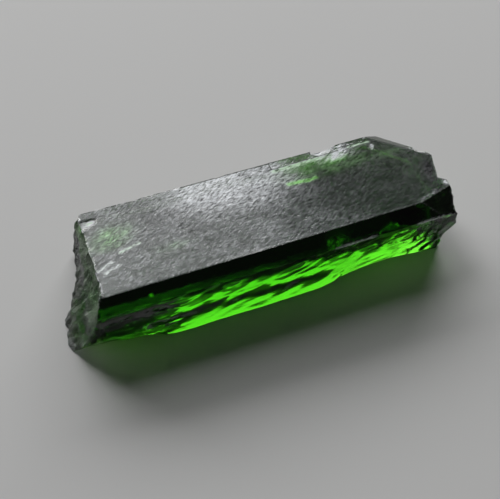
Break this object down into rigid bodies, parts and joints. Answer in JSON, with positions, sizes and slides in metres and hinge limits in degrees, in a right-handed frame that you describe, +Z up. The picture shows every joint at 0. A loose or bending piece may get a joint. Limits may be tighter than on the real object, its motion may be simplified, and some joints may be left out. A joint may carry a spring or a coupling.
{
  "type": "diopside crystal",
  "caption": "Loose broken crystal of clear deep green diopside with flat prism faces, rough broken ends, chips and ledges, lying on a long flat face.",
  "frame": {"origin": "middle of the underside of the bounding box, on the surface that the crystal lies on", "axes": "+X along the crystal towards its stepped end, +Z up out of the wide flat prism face, -Y out of the bright lower front"},
  "size_m": [0.02, 0.007, 0.0035],
  "materials": {
    "diopside": "clear deep green crystal, glossy on the prism faces, uneven and frosted on the breaks"
  },
  "bodies": {
    "root": {"diopside_crystal": "diopside"}
  },
  "joints": []
}
